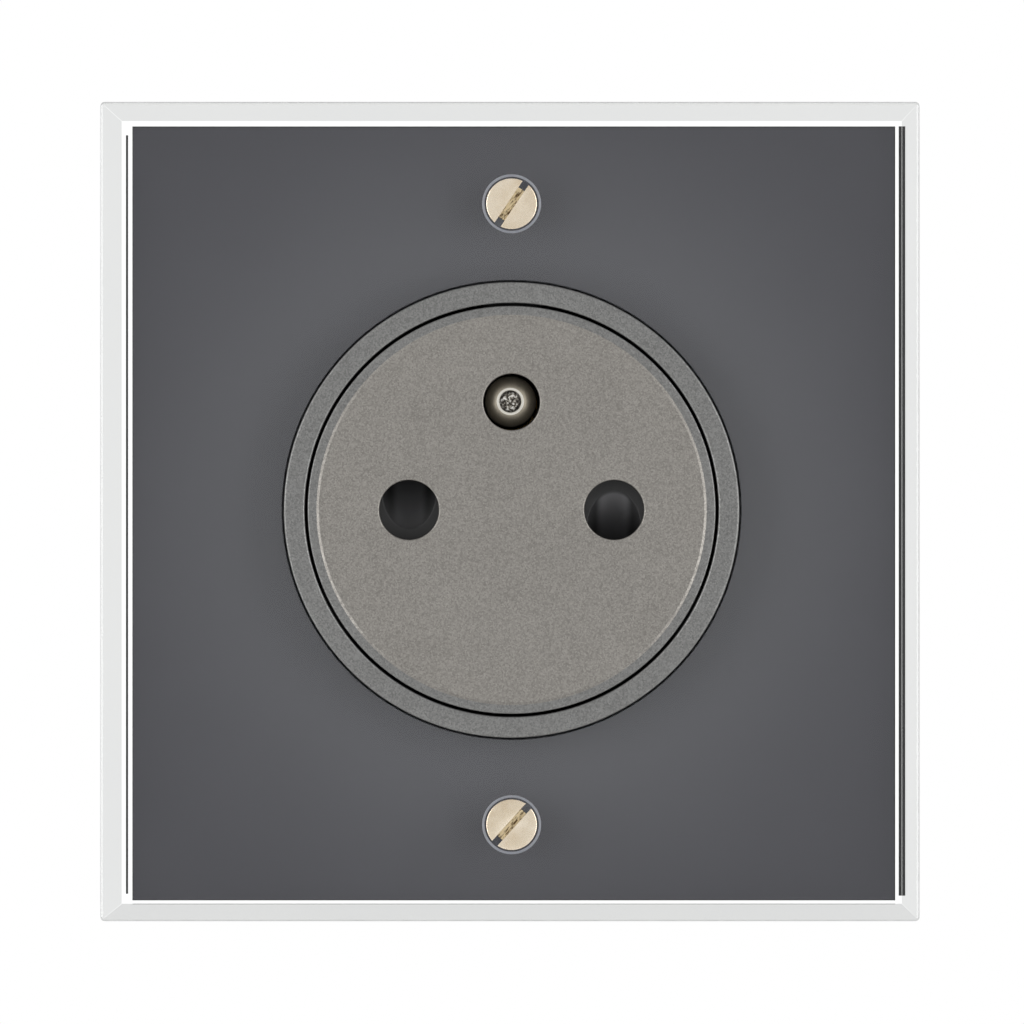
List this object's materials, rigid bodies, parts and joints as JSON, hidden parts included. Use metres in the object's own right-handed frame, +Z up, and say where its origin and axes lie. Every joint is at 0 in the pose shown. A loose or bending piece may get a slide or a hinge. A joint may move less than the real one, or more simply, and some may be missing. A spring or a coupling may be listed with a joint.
{
  "type": "earthed wall socket",
  "caption": "Flush wall socket: clear bevelled square plate over a dark panel, round metallic insert with a sprung face disc, a rotary shutter and a fixed earth pin.",
  "frame": {"origin": "on the insert's axis, in the plane of the wall, midway between the box-screw slots", "axes": "the front faces -Y, +Y points into the wall, +X is to the right and +Z is up"},
  "size_m": [0.0759, 0.0394, 0.0759],
  "materials": {
    "clear_acrylic": "polished",
    "panel_plastic": "satin",
    "screw_nickel": "pale plated",
    "zinc_steel": "zinc plated",
    "ring_lacquer": "metallic lacquer",
    "face_plastic": "metallic lacquer",
    "shutter_plastic": "satin",
    "spring_steel": "bright",
    "inner_plastic": "moulded",
    "housing_plastic": "moulded",
    "nickel_brass": "nickel plated",
    "contact_brass": "rolled strip"
  },
  "bodies": {
    "socket_base": {"cover_plate": "clear_acrylic", "backing_panel": "panel_plastic", "plate_screws": "screw_nickel", "support_frame": "zinc_steel", "frame_clips": "zinc_steel", "trim_ring": "ring_lacquer", "return_spring": "spring_steel", "well_tube": "inner_plastic", "contact_base": "housing_plastic", "earth_pin": "nickel_brass", "earth_strap": "contact_brass", "line_contact": "contact_brass", "neutral_contact": "contact_brass", "contact_springs": "spring_steel", "terminal_springs": "spring_steel", "rear_cover": "housing_plastic"},
    "face": {"face_disc": "face_plastic", "shutter_retainer": "inner_plastic", "shutter_spring": "spring_steel"},
    "shutter_body": {"shutter": "shutter_plastic"}
  },
  "joints": [
    {"name": "face_slide", "type": "slide", "parent": "socket_base", "child": "face", "axis": [0, 1, 0], "range_m": [0, 0.014], "stiffness_N_per_m": 600, "springref_m": -0.006, "deforming": ["return_spring"]},
    {"name": "shutter_turn", "type": "hinge", "parent": "face", "child": "shutter_body", "pos_m": [0, -0.0016, 0], "axis": [0, -1, 0], "range_deg": [0, 38], "stiffness_Nm_per_rad": 0.01, "springref_deg": -17.19, "deforming": ["shutter_spring"]}
  ]
}
